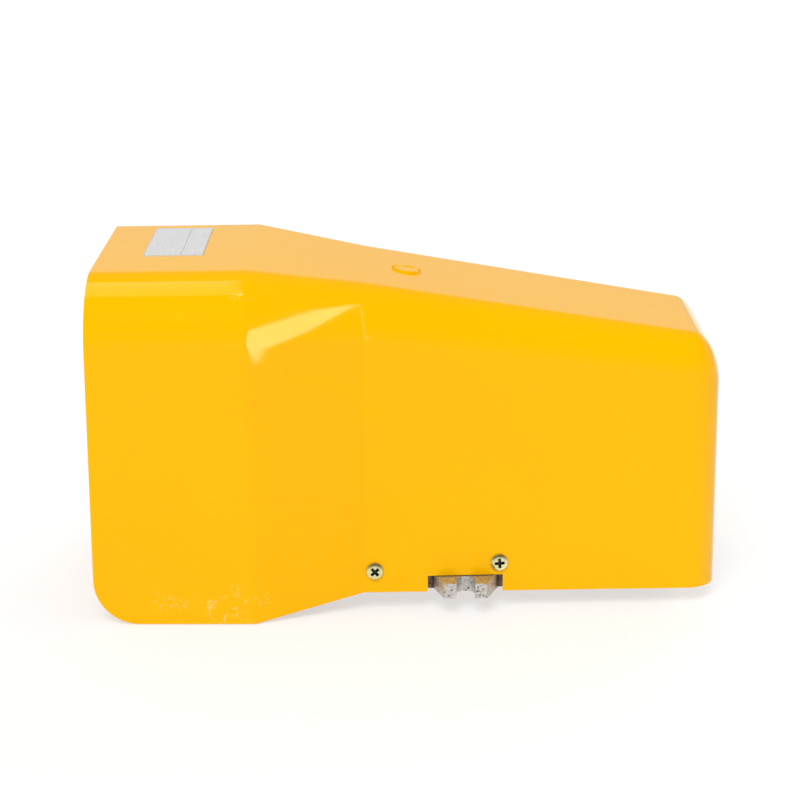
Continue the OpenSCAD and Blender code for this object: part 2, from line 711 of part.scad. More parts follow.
// Plunger with its fork, and the roller that runs on the cam
cheek_t = 3;
cheek_gap = 0.2;
cheek_h = 11;
roller_pin_d = 4;
cheek_reach = roller_d / 2 - touch;
module plunger() color([0.75, 0.76, 0.78]) {
    half = roller_w / 2 + cheek_gap + cheek_t;
    difference() {
        union() {
            translate([fork_x, -half, spool_z - cheek_h / 2]) cube([fork_web_t, 2 * half, cheek_h]);
            for (side = [-1, 1])
                translate([roller_x, side * (half - cheek_t / 2) - cheek_t / 2, spool_z - cheek_h / 2])
                    cube([fork_x - roller_x, cheek_t, cheek_h]);
            for (side = [-1, 1])
                translate([roller_x, side * (half - cheek_t / 2), spool_z]) rotate([90, 0, 0])
                    cylinder(d = cheek_h, h = cheek_t, center = true);
            on_axis(fork_x) cylinder(d = rod_d, h = spool_x - fork_x);
        }
        translate([roller_x, 0, spool_z]) rotate([90, 0, 0])
            cylinder(d = roller_pin_d, h = 2 * half + 2 * over, center = true);
    }
}
module roller_pin() color([0.6, 0.6, 0.62])
    translate([roller_x, 0, spool_z]) rotate([90, 0, 0])
        cylinder(d = roller_pin_d, h = roller_w + 2 * (cheek_gap + cheek_t), center = true);
module cam_roller() color([0.5, 0.5, 0.52])
    translate([roller_x, 0, spool_z]) rotate([90, 0, 0]) difference() {
        cylinder(d = roller_d, h = roller_w, center = true);
        cylinder(d = roller_pin_d + 2 * run, h = roller_w + over, center = true);
    }

// Cam: the face that moves the roller by stroke, at a steady rate, over the pedal's travel
cam_steps = 8;
cam_extra_steps = 3;
// Centre of the roller as the pedal sees it, given from the pivot, at a share of the travel
function roller_seen(share) = turned(
    [roller_x + stroke * share - pivot_x, spool_z - pivot_z], -travel_angle * share);
// Point of the cam's face at that share: the centre moved along the path's normal
function cam_point(share) =
    let (step_share = 1 / cam_steps,
        d = roller_seen(share + step_share) - roller_seen(share - step_share),
        n = [-d[1], d[0]] / norm(d))
    roller_seen(share) + n * (roller_d / 2 + touch);
cam_face = [for (i = [-cam_extra_steps : cam_steps + cam_extra_steps]) cam_point(i / cam_steps)];
cam_low = cam_face[0][1];
cam_screw_d = 4;
cam_screw_grip = 5;
cam_screw_head_d = 7;
cam_screw_head_h = 2;
toe_stop_t = 5;
cam_screw_margin = 0.6;
cam_screw_inset = 4;
cam_screw_pitch = 8;
cam_screw_low = tread_top(pedal_l - toe_stop_t) + cam_screw_head_d / 2 + cam_screw_margin;
cam_screw_zs = [cam_screw_low, cam_screw_low + cam_screw_pitch];
cam_end = cam_face[len(cam_face) - 1];
cam_top = max(cam_end[1], cam_screw_zs[1] + cam_screw_inset);
module cam_plate() color([0.55, 0.56, 0.58])
    translate([pivot_x, 0, pivot_z]) difference() {
        rotate([90, 0, 0]) linear_extrude(height = roller_w, center = true)
            polygon(concat([[pedal_l, cam_top], [pedal_l, cam_low]], cam_face,
                [[cam_end[0], cam_top]]));
        for (z = cam_screw_zs) translate([pedal_l - over, 0, z]) rotate([0, 90, 0])
            cylinder(d = cam_screw_d, h = cam_screw_grip + over);
    }
module cam_screws() color([0.3, 0.3, 0.32])
    for (z = cam_screw_zs)
        translate([pivot_x + pedal_l - toe_stop_t, 0, pivot_z + z]) rotate([0, 90, 0])
            difference() {
                union() {
                    translate([0, 0, -cam_screw_head_h])
                        cylinder(d = cam_screw_head_d, h = cam_screw_head_h);
                    cylinder(d = cam_screw_d, h = toe_stop_t + cam_screw_grip);
                }
                mirror([0, 0, 1]) translate([0, 0, cam_screw_head_h])
                    cross_recess(recess_w, recess_l, recess_h, 0);
            }

toe_corner_r = 10;
bush_wall = 1.5;
bush_l = 12;
bush_d = pin_d + 2 * run + 2 * bush_wall;
skirt_t = 3;
skirt_h = 7;
cam_tab_w = 22;
module tread_profile(low, high, from_u, to_u) polygon([
    [from_u, tread_low(from_u) - low], [to_u, tread_low(to_u) - low],
    [to_u, tread_low(to_u) + high], [from_u, tread_low(from_u) + high]]);
module pedal() color([0.35, 0.36, 0.38])
    translate([pivot_x, 0, pivot_z]) difference() {
        union() {
            rotate([90, 0, 0]) linear_extrude(height = pedal_w, center = true)
                tread_profile(0, tread_t / cos(pedal_rise), -heel_l, pedal_l);
            for (side = [-1, 1]) translate([0, side * (pedal_w - skirt_t) / 2, 0])
                rotate([90, 0, 0]) linear_extrude(height = skirt_t, center = true)
                    tread_profile(skirt_h, tread_t / 2, -heel_l, pedal_l);
            rotate([90, 0, 0])
                cylinder(r = pedal_tube_r, h = pedal_w - 2 * bush_flange_t, center = true);
            // Toe stop with rounded upper corners
            translate([pedal_l - toe_stop_t, 0, 0]) rotate([90, 0, 90])
                linear_extrude(height = toe_stop_t) {
                    low = tread_low(pedal_l);
                    translate([-pedal_w / 2, low])
                        square([pedal_w, toe_stop_h - toe_corner_r - low]);
                    translate([-pedal_w / 2 + toe_corner_r, low])
                        square([pedal_w - 2 * toe_corner_r, toe_stop_h - low]);
                    for (side = [-1, 1])
                        translate([side * (pedal_w / 2 - toe_corner_r), toe_stop_h - toe_corner_r])
                            circle(r = toe_corner_r);
                    translate([-cam_tab_w / 2, cam_low]) square([cam_tab_w, toe_stop_h - cam_low]);
                }
            // Seat of the return spring
            translate([spring_u, 0, spring_top - pivot_z])
                cylinder(d = spring_d + 2 * spring_margin, h = spring_seat_h);
            translate([spring_u, 0, spring_top - pivot_z - spring_spigot_h])
                cylinder(d = spring_spigot_d, h = spring_spigot_h + tread_t / 2);
        }
        rotate([90, 0, 0]) cylinder(d = bush_d, h = pedal_w + over, center = true);
        for (side = [-1, 1]) translate([0, side * pedal_w / 2, 0]) rotate([90, 0, 0])
            cylinder(r = pedal_tube_r + touch, h = 2 * bush_flange_t, center = true);
        for (z = cam_screw_zs) translate([pedal_l - toe_stop_t - over, 0, z])
            rotate([0, 90, 0]) cylinder(d = cam_screw_d, h = toe_stop_t + 2 * over);
    }
mat_margin = 4;
mat_rib_n = 9;
mat_rib_w = 3;
mat_rib_h = 1.2;
module pedal_mat() color([0.1, 0.1, 0.1]) {
    from_u = -heel_l + mat_margin;
    to_u = pedal_l - toe_stop_t - mat_margin;
    top = tread_t / cos(pedal_rise);
    pitch = (to_u - from_u - mat_rib_w) / (mat_rib_n - 1);
    translate([pivot_x, 0, pivot_z]) rotate([90, 0, 0])
        linear_extrude(height = pedal_w - 2 * mat_margin, center = true) {
            tread_profile(-top, top + mat_t - mat_rib_h, from_u, to_u);
            for (i = [0 : mat_rib_n - 1])
                tread_profile(-top, top + mat_t, from_u + i * pitch, from_u + i * pitch + mat_rib_w);
        }
}
module pedal_bushes() color([0.7, 0.5, 0.25])
    for (side = [-1, 1]) translate([pivot_x, 0, pivot_z]) mirror([0, side > 0 ? 0 : 1, 0])
        translate([0, pedal_w / 2, 0]) rotate([90, 0, 0]) difference() {
            union() {
                cylinder(d = bush_d, h = bush_l);
                cylinder(d = bush_d + 2 * bush_wall, h = bush_flange_t);
            }
            translate([0, 0, -over]) cylinder(d = pin_d + 2 * run, h = bush_l + 2 * over);
        }

guard_hood();
rating_plate();
hood_screws();
base_casting();
rubber_feet();
feet_screws();
pivot_pin();
pivot_clips();
stop_bumper();
pedal_spring();
valve_body();
front_cap();
cap_screws();
rod_seal();
valve_gasket();
channel_plate();
port_block();
block_screws();
valve_bolts();
spool_spring();
pedal();
pedal_mat();
pedal_bushes();
cam_plate();
cam_screws();
plunger();
spool();
spool_seals();
roller_pin();
cam_roller();
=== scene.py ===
"""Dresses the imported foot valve: a smooth moulded hood, its plate and gate mark, and every finish.

Lengths are in millimetres in this script and become metres where a mesh is made.
"""

import math

import bmesh
import bpy
from mathutils import Matrix, Vector


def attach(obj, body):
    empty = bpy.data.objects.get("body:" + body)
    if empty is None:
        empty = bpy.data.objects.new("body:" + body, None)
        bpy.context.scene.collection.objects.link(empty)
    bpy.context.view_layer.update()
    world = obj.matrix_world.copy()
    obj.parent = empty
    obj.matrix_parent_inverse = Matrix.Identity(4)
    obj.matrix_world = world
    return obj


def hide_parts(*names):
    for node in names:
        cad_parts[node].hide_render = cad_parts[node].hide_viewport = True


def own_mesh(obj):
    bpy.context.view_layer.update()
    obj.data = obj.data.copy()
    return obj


MM = 0.001

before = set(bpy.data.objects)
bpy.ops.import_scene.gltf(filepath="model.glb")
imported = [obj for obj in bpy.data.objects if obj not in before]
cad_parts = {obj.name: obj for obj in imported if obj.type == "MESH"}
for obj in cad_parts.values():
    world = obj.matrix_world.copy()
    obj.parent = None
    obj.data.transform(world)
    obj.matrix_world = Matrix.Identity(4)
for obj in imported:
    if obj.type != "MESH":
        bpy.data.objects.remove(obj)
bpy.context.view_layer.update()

# The hood's sizes, as in part.scad, with the photograph's finer edge radii
HOOD_H = 133.4
WIDE_W, MID_W, TOE_W = 124, 97.6, 82.8
WALL = 3
FRONT_FILLET, MID_FILLET, TOE_FILLET = 25, 19, 14
FAR_FRONT_FILLET, FAR_MID_FILLET = 20, 18
REAR_ROUND, REAR_TOP_ROUND, SKIRT_ROUND = 12, 19.5, 17.5
TOE_DROP = 0.9
FRONT_DROP = 0.8
TOP_SLOPE = math.tan(math.radians(8.5))
FRONT_LEAN, CREASE_LEAN, REAR_LEAN = (math.tan(math.radians(a)) for a in (0, 1.1, 0.5))
SKIRT_GAP, EDGE_Z, TOE_EDGE_Z = 0.3, 8, 7
X_FRONT, X_REAR = -119.84, 119.8
X_WIDE = -58.5
FLARE_L = 41.1
X_MID = X_WIDE + FLARE_L
X_CORNER = X_REAR - REAR_ROUND
X_SLOPE = X_WIDE - HOOD_H * CREASE_LEAN
LUG_SETBACK = 39.2
LUG_X = X_MID + LUG_SETBACK
TAPER_END = 109
NOTCH_W, NOTCH_TOP = 29, 14.3
HOSE_HALF_W, HOSE_TOP = 31, 62
# Screws in each side wall: place along the hood and height, and how far each recess is turned
SCREW_PLACES = [(X_MID + 4.2, 16.8), (X_MID + 52.3, 19.4)]
SCREW_HOLE_R, SHANK_R, SHANK_L, HEAD_R = 2.2, 2, 9, 3.45
RECESS_TURNS = [42, 4]
EDGE_ROUND = 0.45
GATE_X, GATE_R = -1, 5.65
PLATE_X, PLATE_Y, PLATE_LINE_X = (-102.5, -79.5), (-14, 36), -88


def top_z(x):
    """Outer height of the hood behind the wide section."""
    return HOOD_H - (x - X_SLOPE) * TOP_SLOPE


# Stations along the hood: place, half width, top, lower edge, lean, near and far edge radius
FRONT_FILLETS = FRONT_FILLET, FAR_FRONT_FILLET
MID_FILLETS = MID_FILLET, FAR_MID_FILLET
TOE_FILLETS = TOE_FILLET, TOE_FILLET
TOE_TOP = top_z(X_CORNER) - TOE_DROP
STATIONS = [
    (X_FRONT, WIDE_W / 2, HOOD_H - FRONT_DROP, SKIRT_GAP, FRONT_LEAN, *FRONT_FILLETS),
    (X_WIDE, WIDE_W / 2, HOOD_H, SKIRT_GAP, -CREASE_LEAN, *FRONT_FILLETS),
    (X_MID, MID_W / 2, top_z(X_MID), EDGE_Z, 0, *MID_FILLETS),
    (X_CORNER, TOE_W / 2, TOE_TOP, TOE_EDGE_Z, -REAR_LEAN, *TOE_FILLETS),
]
CREASE_REACH = 1


def station_at(x):
    """Half width, top, lower edge, lean and edge radii at x, straight between the stations."""
    for a, b in zip(STATIONS, STATIONS[1:]):
        if x <= b[0] or b is STATIONS[-1]:
            t = (x - a[0]) / (b[0] - a[0])
            return [p + (q - p) * t for p, q in zip(a[1:], b[1:])]


def eased_station(x, reach):
    """station_at with its corners rounded over a reach each way."""
    steps = 9
    total = [0] * 6
    for i in range(steps):
        offset = reach * (2 * i / (steps - 1) - 1)
        inside = min(max(x + offset, X_FRONT), X_CORNER)
        total = [t + v / steps for t, v in zip(total, station_at(inside))]
    return total


FILLET_STEPS = 16
WALL_ROWS = 10
TOP_ROWS = 8


def half_section(half_w, top, low, radius):
    """Points (distance from the middle, z) from the lower edge up and round onto the top."""
    centre_y, centre_z = half_w - radius, top - radius
    wall = [(half_w, low + (centre_z - low) * i / WALL_ROWS) for i in range(WALL_ROWS)]
    return wall + [
        (centre_y + radius * math.cos(a), centre_z + radius * math.sin(a))
        for a in (math.pi / 2 * i / FILLET_STEPS for i in range(FILLET_STEPS + 1))
    ]


def section(half_w, top, low, near_fillet, far_fillet):
    """Points (y, z) of one cross-section, from the near lower edge over the top to the far one."""
    near = [(-y, z) for y, z in half_section(half_w, top, low, near_fillet)]
    far = half_section(half_w, top, low, far_fillet)[::-1]
    start, reach = near[-1][0], far[0][0] - near[-1][0]
    return near + [(start + reach * i / TOP_ROWS, top) for i in range(1, TOP_ROWS)] + far


def shell_rows(inset):
    """Rows of points of the hood's skin, from the open front to the rear wall."""
    stops = [X_FRONT]
    for crease, after in ((X_WIDE, X_MID), (X_MID, X_CORNER)):
        stops += [crease + CREASE_REACH * s for s in (-1.5, -0.9, -0.45, 0, 0.45, 0.9, 1.5)]
        stops += [crease + (after - crease) * s for s in (0.25, 0.5, 0.75)]
    stops.insert(1, (X_FRONT + X_WIDE) / 2)
    rows = []
    for x in stops:
        half_w, top, low, lean, near, far = eased_station(x, CREASE_REACH)
        skin = section(half_w - inset, top - inset, low, near - inset, far - inset)
        rows.append([(x + z * lean, y, z) for y, z in skin])
    half_w, top, low, lean, near, far = station_at(X_CORNER)
    turn, top_turn = REAR_ROUND - inset, REAR_TOP_ROUND - inset
    for i in range(FILLET_STEPS + 1):
        a = math.pi / 2 * i / FILLET_STEPS
        side_in = inset + turn * (1 - math.cos(a))
        top_in = inset + top_turn * (1 - math.cos(a))
        skin = section(half_w - side_in, top - top_in, low, near - side_in, far - side_in)
        x = X_CORNER + turn * math.sin(a)
        rows.append([(x + z * lean, y, z) for y, z in skin])
    return rows


def to_mesh(name, points, faces):
    """A mesh object from points in millimetres."""
    mesh = bpy.data.meshes.new(name)
    mesh.from_pydata([[c * MM for c in p] for p in points], [], faces)
    mesh.update()
    obj = bpy.data.objects.new(name, mesh)
    bpy.context.scene.collection.objects.link(obj)
    return obj


def outward(obj):
    """Turn every face of a closed mesh outwards."""
    work = bmesh.new()
    work.from_mesh(obj.data)
    bmesh.ops.recalc_face_normals(work, faces=work.faces)
    work.to_mesh(obj.data)
    work.free()
    return obj


def prism(name, outline, axis, low, high):
    """A closed prism: outline points in the plane across an axis (0, 1 or 2), from low to high."""
    ends = []
    for level in (low, high):
        for p in outline:
            q = list(p)
            q.insert(axis, level)
            ends.append(q)
    return outward(to_mesh(name, ends, ring_faces(2, len(outline))))


def circle(steps):
    """Angles once round."""
    return [2 * math.pi * i / steps for i in range(steps)]


def ring_faces(rings, steps):
    """Faces of a closed shape of stacked rings of points: its two caps, then its sides."""
    faces = [list(range(steps)), list(range((rings - 1) * steps, rings * steps))]
    for k in range(rings - 1):
        low, high = k * steps, (k + 1) * steps
        for i in range(steps):
            j = (i + 1) % steps
            faces.append([low + i, low + j, high + j, high + i])
    return faces


def rod(name, start, end, radius, steps=32):
    """A closed cylinder between two points."""
    start = Vector(start)
    axis = Vector(end) - start
    turn = axis.to_track_quat("Z", "Y").to_matrix()
    points = []
    for level in (0, axis.length):
        for a in circle(steps):
            around = Vector((radius * math.cos(a), radius * math.sin(a), level))
            points.append(start + turn @ around)
    return outward(to_mesh(name, points, ring_faces(2, steps)))


def apply_modifiers(obj):
    """Bake an object's modifiers into its mesh."""
    depsgraph = bpy.context.evaluated_depsgraph_get()
    mesh = bpy.data.meshes.new_from_object(obj.evaluated_get(depsgraph))
    obj.modifiers.clear()
    obj.data = mesh


def cut(obj, tools):
    """Cut the tools out of a mesh and delete them."""
    for tool in tools:
        step = obj.modifiers.new("cut", "BOOLEAN")
        step.operation, step.solver, step.object = "DIFFERENCE", "EXACT", tool
    apply_modifiers(obj)
    for tool in tools:
        bpy.data.objects.remove(tool)


def finish_edges(obj, width, segments=2, angle=35):
    """Round the sharp edges a little and shade the rest smooth."""
    round_off = obj.modifiers.new("edges", "BEVEL")
    round_off.width, round_off.segments = width * MM, segments
    round_off.limit_method, round_off.angle_limit = "ANGLE", math.radians(angle)
    round_off.harden_normals = True
    apply_modifiers(obj)
    for face in obj.data.polygons:
        face.use_smooth = True
    obj.data.set_sharp_from_angle(angle=math.radians(angle))
    weight = obj.modifiers.new("normals", "WEIGHTED_NORMAL")
    weight.keep_sharp = True
    apply_modifiers(obj)


def build_hood():
    """The hood's moulding as one closed mesh with its openings cut."""
    outer, inner = shell_rows(0), shell_rows(WALL)
    columns, count = len(outer[0]), len(outer)
    points = [p for row in outer + inner for p in row]
    start = count * columns

    def at(side, row, column):
        return side * start + row * columns + column

    def face(*corners):
        faces.append([at(*corner) for corner in corners])

    faces = []
    last_row, last_column = count - 1, columns - 1
    for side in (0, 1):
        for i in range(last_row):
            for j in range(last_column):
                face((side, i, j), (side, i, j + 1), (side, i + 1, j + 1), (side, i + 1, j))
        face(*((side, last_row, j) for j in range(columns)))
    # The rims that join the outer skin to the inner one: front, lower edges, rear
    for j in range(last_column):
        face((0, 0, j), (0, 0, j + 1), (1, 0, j + 1), (1, 0, j))
    for i in range(last_row):
        for j in (0, last_column):
            face((0, i, j), (0, i + 1, j), (1, i + 1, j), (1, i, j))
    face((0, last_row, 0), (0, last_row, last_column), (1, last_row, last_column), (1, last_row, 0))
    hood = outward(to_mesh("hood_moulding", points, faces))

    # How far a cutting tool reaches past the skin that it cuts
    over = 5
    arc = [
        (
            X_FRONT + SKIRT_ROUND * (1 - math.cos(a)),
            SKIRT_GAP + SKIRT_ROUND * (1 - math.sin(a)),
        )
        for a in (math.pi / 2 * i / 16 for i in range(17))
    ]
    corner = [(X_FRONT - over, SKIRT_GAP - over), (X_FRONT - over, arc[0][1])] + arc
    corner += [(arc[-1][0], SKIRT_GAP - over)]
    tools = [prism("front_corners", corner, 1, -WIDE_W, WIDE_W)]
    for side in (-1, 1):
        low, high = sorted((side * WIDE_W / 4, side * WIDE_W))
        notch = [(LUG_X - NOTCH_W / 2, 0), (LUG_X + NOTCH_W / 2, 0)]
        notch += [(LUG_X + NOTCH_W / 2, NOTCH_TOP), (LUG_X - NOTCH_W / 2, NOTCH_TOP)]
        tools.append(prism("lug_notch", notch, 1, low, high))
        for x, z in SCREW_PLACES:
            y = side * station_at(x)[0]
            inside, outside = (x, y - side * over, z), (x, y + side * over, z)
            tools.append(rod("screw_hole", inside, outside, SCREW_HOLE_R))
    hose = [(-HOSE_HALF_W, 0), (HOSE_HALF_W, 0), (HOSE_HALF_W, HOSE_TOP), (-HOSE_HALF_W, HOSE_TOP)]
    tools.append(prism("hose_opening", hose, 0, X_REAR - 2 * WALL, X_REAR + over))
    cut(hood, tools)
    finish_edges(hood, EDGE_ROUND)
    return hood


def build_gate():
    """The low dished disc where the moulding was filled, with its torn ends."""
    steps = 96
    # Share of the radius, and height over the hood in millimetres
    profile = [(1, -0.6), (1, 0.1), (0.97, 0.4), (0.93, 0.62), (0.87, 0.72), (0.8, 0.66)]
    profile += [(0.7, 0.5), (0.55, 0.42), (0.35, 0.4), (0.12, 0.4)]
    points = []
    for reach, rise in profile:
        for i, a in enumerate(circle(steps)):
            rim = max(0, 1 - abs(reach - 0.9) * 6)
            ends = max(0, math.cos(2 * a)) ** 4
            rough = math.sin(3.7 * i + 5 * reach) * math.sin(1.3 * i + 1)
            r = GATE_R * reach * (1 + 0.012 * math.sin(3 * a) + 0.05 * rim * ends * rough)
            lift = rim * (0.12 * math.sin(5 * a + 1) + 0.5 * ends * max(rough, -0.6))
            x, y, z = r * math.cos(a), r * math.sin(a), rise + lift
            points.append((GATE_X + x + z * TOP_SLOPE, y, top_z(GATE_X) - x * TOP_SLOPE + z))
    gate = outward(to_mesh("gate_mark", points, ring_faces(len(profile), steps)))
    for face in gate.data.polygons:
        face.use_smooth = True
    return gate


def dome_height(r):
    """Height of a pan head over the wall at a radius."""
    return 1.6 - 0.07 * (r / 2) ** 2 - 0.8 * (r / HEAD_R) ** 8


def build_screws():
    """The four side screws: domed heads with a cross recess, and their shanks."""
    steps = 48
    rings = [0.15, 0.7, 1.2, 1.7, 2.2, 2.6, 2.9, 3.1, 3.25, 3.36, HEAD_R]
    profile = [(r, dome_height(r)) for r in rings]
    profile += [(HEAD_R, 0.4), (HEAD_R - 0.06, 0)]
    profile += [(SHANK_R, 0), (SHANK_R, -SHANK_L), (0.3, -SHANK_L)]
    taper = math.atan((MID_W - TOE_W) / 2 / (TAPER_END - X_MID))
    points = [
        (r * math.cos(a), r * math.sin(a), h) for r, h in profile for a in circle(steps)
    ]
    screws = []
    for side in (-1, 1):
        for (x, z), turned in zip(SCREW_PLACES, RECESS_TURNS):
            screw = outward(to_mesh("side_screw", points, ring_faces(len(profile), steps)))
            cut(screw, [recess_wedge(turned), recess_wedge(turned + 90)])
            for face in screw.data.polygons:
                centre = face.center / MM
                r = math.hypot(centre.x, centre.y)
                face.use_smooth = len(face.vertices) == 4 and r > 2
                # Faces inside the cross recess take the black steel slot: painted shade in the
                # recess
                face.material_index = int(r < 2.3 and 0 < centre.z < dome_height(r) - 0.12)
            outwards = Matrix.Rotation(-side * math.pi / 2, 4, "X")
            along_wall = Matrix.Rotation(-side * taper, 4, "Z")
            wall = Matrix.Translation(Vector((x, side * station_at(x)[0], z)) * MM)
            screw.data.transform(wall @ (along_wall @ outwards))
            screws.append(screw)
    return join(screws, "side_screws")


def recess_wedge(angle):
    """One arm of a cross recess, narrowing as it goes down."""
    turn = Matrix.Rotation(math.radians(angle), 3, "Z")
    points = []
    for half_l, half_w, h in ((1.3, 0.4, 0.4), (2.25, 0.68, 2.1)):
        for sx, sy in ((-1, -1), (1, -1), (1, 1), (-1, 1)):
            points.append(turn @ Vector((sx * half_l, sy * half_w, h)))
    return outward(to_mesh("recess", points, ring_faces(2, 4)))


def join(objects, name):
    """One object from several, keeping their material slots."""
    work = bmesh.new()
    for obj in objects:
        work.from_mesh(obj.data)
    joined = objects[0]
    work.to_mesh(joined.data)
    work.free()
    for obj in objects[1:]:
        bpy.data.objects.remove(obj)
    joined.name = joined.data.name = name
    return joined


def build_spring(name, base, turn, outer_d, wire, length, curls):
    """A round-wire helix from a base point, along the local Z of a turn matrix."""
    # Points per curl, and round the wire
    around, ring = 28, 12
    mean_r = (outer_d - wire) / 2
    pitch = (length - wire) / curls
    rise = math.atan(pitch / (2 * math.pi * mean_r))
    points = []
    count = curls * around
    for k in range(count + 1):
        a = 2 * math.pi * k / around
        out = Vector((math.cos(a), math.sin(a), 0))
        up = Vector((math.sin(rise) * math.sin(a), -math.sin(rise) * math.cos(a), math.cos(rise)))
        centre = out * mean_r + Vector((0, 0, wire / 2 + pitch * k / around))
        for b in circle(ring):
            p = centre + (out * math.cos(b) + up * math.sin(b)) * (wire / 2)
            points.append(Vector(base) + turn @ p)
    spring = outward(to_mesh(name, points, ring_faces(count + 1, ring)))
    for face in spring.data.polygons:
        face.use_smooth = len(face.vertices) == 4
    return spring


hood = build_hood()
gate = build_gate()
screws = build_screws()
# Springs: base, direction, outer diameter, wire, length and curls
upright, lengthwise = Matrix.Identity(3), Matrix.Rotation(math.pi / 2, 3, "Y")
pedal_coil = build_spring("pedal_coil", (-32, 0, 14), upright, 16, 1.8, 17.9, 4)
spool_coil = build_spring("spool_coil", (89.2, 0, 38), lengthwise, 12, 1.2, 11, 3)


# Camera at the photograph's place, dipped by an angle in radians, and the floor
CAMERA_PLACE, CAMERA_DIP, CAMERA_LENS = (-3.47, -827.1, 316.1), 0.288, 97.12
FLOOR_REACH = 6000
camera_data = bpy.data.cameras.new("camera")
camera_data.sensor_width, camera_data.lens = 36, CAMERA_LENS
camera = bpy.data.objects.new("camera", camera_data)
camera.location = Vector(CAMERA_PLACE) * MM
camera.rotation_euler = (math.pi / 2 - CAMERA_DIP, 0, 0)
bpy.context.scene.collection.objects.link(camera)
bpy.context.scene.camera = camera
bpy.context.scene.view_settings.view_transform = "Standard"

signs = ((-1, -1), (1, -1), (1, 1), (-1, 1))
floor_corners = [(x * FLOOR_REACH, y * FLOOR_REACH, 0) for x, y in signs]
floor = to_mesh("floor", floor_corners, [[0, 1, 2, 3]])


# Finishes
class Finish:
    """A Principled material and the small helpers that build its texture nodes."""

    def __init__(self, name, colour, roughness, metallic=0.0):
        self.material = bpy.data.materials.new(name)
        self.material.use_nodes = True
        self.tree = self.material.node_tree
        self.shader = self.tree.nodes["Principled BSDF"]
        self.shader.inputs["Base Color"].default_value = (*colour, 1)
        self.shader.inputs["Roughness"].default_value = roughness
        self.shader.inputs["Metallic"].default_value = metallic
        self.place = self.tree.nodes.new("ShaderNodeTexCoord").outputs["Object"]
        self.height = None

    def link(self, a, b):
        self.tree.links.new(a, b)
        return b

    def scaled(self, scale):
        """Object coordinates stretched by a scale per axis."""
        node = self.tree.nodes.new("ShaderNodeMapping")
        node.inputs["Scale"].default_value = scale
        self.link(self.place, node.inputs["Vector"])
        return node.outputs["Vector"]

    def noise(self, per_metre, detail=4.0, roughness=0.5, stretch=(1, 1, 1)):
        node = self.tree.nodes.new("ShaderNodeTexNoise")
        node.inputs["Scale"].default_value = per_metre
        node.inputs["Detail"].default_value = detail
        node.inputs["Roughness"].default_value = roughness
        self.link(self.scaled(stretch), node.inputs["Vector"])
        return node.outputs["Fac"]

    def cells(self, per_metre, randomness=1.0):
        """Distance to, and random colour of, scattered cell centres."""
        node = self.tree.nodes.new("ShaderNodeTexVoronoi")
        node.inputs["Scale"].default_value = per_metre
        node.inputs["Randomness"].default_value = randomness
        self.link(self.place, node.inputs["Vector"])
        return node.outputs["Distance"], node.outputs["Color"]

    def ramp(self, value, low, high, start=0.0, end=1.0):
        """A value's span low..high stretched to start..end."""
        node = self.tree.nodes.new("ShaderNodeMapRange")
        node.inputs["From Min"].default_value = low
        node.inputs["From Max"].default_value = high
        node.inputs["To Min"].default_value = start
        node.inputs["To Max"].default_value = end
        self.link(value, node.inputs["Value"])
        return node.outputs["Result"]

    def calc(self, operation, a, b):
        node = self.tree.nodes.new("ShaderNodeMath")
        node.operation = operation
        for slot, value in zip(node.inputs, (a, b)):
            if isinstance(value, (int, float)):
                slot.default_value = value
            else:
                self.link(value, slot)
        return node.outputs["Value"]

    def product(self, a, b):
        return self.calc("MULTIPLY", a, b)

    def greatest(self, a, b):
        return self.calc("MAXIMUM", a, b)

    def blend(self, factor, a, b):
        """A colour mixed from a to b, each a colour or a socket."""
        node = self.tree.nodes.new("ShaderNodeMix")
        node.data_type = "RGBA"
        self.link(factor, node.inputs["Factor"])
        for slot, value in ((node.inputs[6], a), (node.inputs[7], b)):
            if isinstance(value, (tuple, list)):
                slot.default_value = (*value, 1)
            else:
                self.link(value, slot)
        return node.outputs[2]

    def axis(self, index):
        """One of the object coordinates, in metres."""
        node = self.tree.nodes.new("ShaderNodeSeparateXYZ")
        self.link(self.place, node.inputs["Vector"])
        return node.outputs[index]

    def colour(self, socket):
        self.link(socket, self.shader.inputs["Base Color"])

    def roughness(self, socket):
        self.link(socket, self.shader.inputs["Roughness"])

    def bump(self, height, depth, strength=1.0):
        """Relief of a depth in metres, on top of any given before."""
        node = self.tree.nodes.new("ShaderNodeBump")
        node.inputs["Strength"].default_value = strength
        node.inputs["Distance"].default_value = depth
        self.link(height, node.inputs["Height"])
        if self.height:
            self.link(self.height, node.inputs["Normal"])
        self.height = node.outputs["Normal"]
        self.link(self.height, self.shader.inputs["Normal"])


def span(finish, index, low, high, soft):
    """1 where an object coordinate lies between low and high (mm), fading over soft."""
    place = finish.axis(index)
    rise = finish.ramp(place, (low - soft) * MM, low * MM)
    fall = finish.ramp(place, high * MM, (high + soft) * MM, 1.0, 0.0)
    return finish.product(rise, fall)


